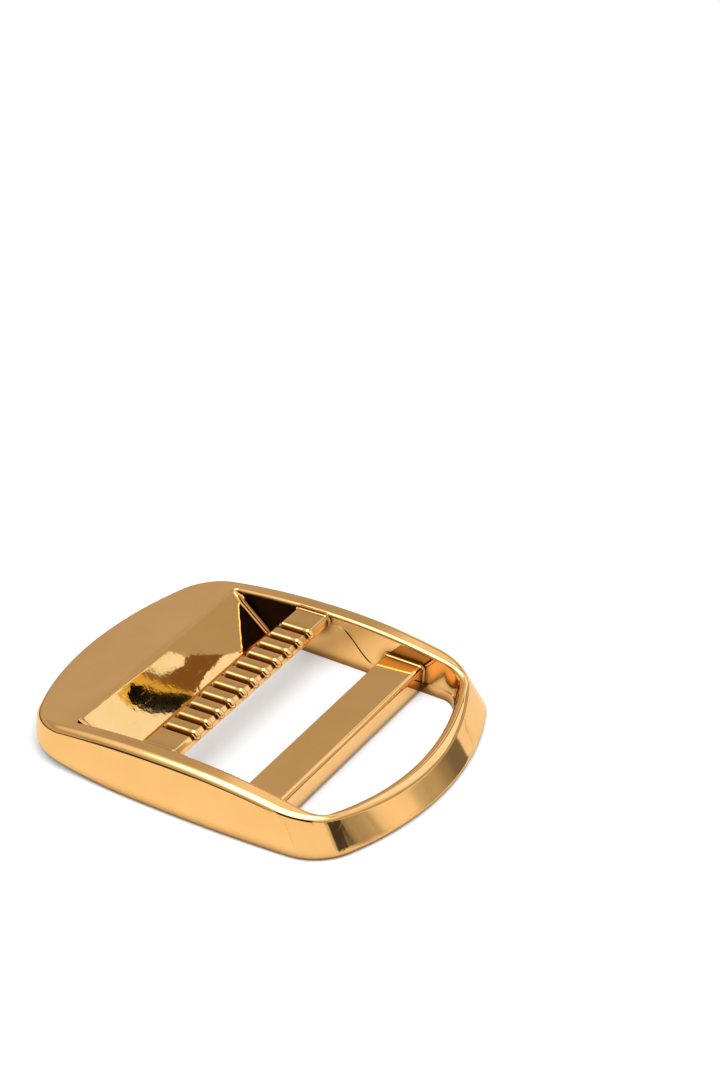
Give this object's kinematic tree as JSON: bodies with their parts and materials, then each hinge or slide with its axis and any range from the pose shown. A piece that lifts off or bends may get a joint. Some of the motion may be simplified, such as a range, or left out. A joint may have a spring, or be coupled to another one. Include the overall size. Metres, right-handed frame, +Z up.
{
  "type": "strap slider buckle",
  "caption": "Gold-plated ladder-lock slider with a lift tab, a sloping chute, a ribbed grip bar and a smooth bar inside a rounded frame; it adjusts the length of a strap.",
  "frame": {"origin": "middle of the footprint, on the plane that the slider lies on", "axes": "+X across the strap, +Y along the strap from the lift tab to the round loop end, +Z up from the base to the top face"},
  "size_m": [0.033, 0.039, 0.0049],
  "materials": {
    "polished_gold": "mirror-polished warm gold plating",
    "cast_gold": "gold plating over a slightly uneven cast face"
  },
  "bodies": {
    "root": {"tab_plate": "polished_gold", "left_rail": "polished_gold", "right_rail": "polished_gold", "loop_end": "polished_gold", "ramp_plate": "cast_gold", "grip_bar": "polished_gold", "grip_ribs": "polished_gold", "webbing_bar": "polished_gold"}
  },
  "joints": []
}
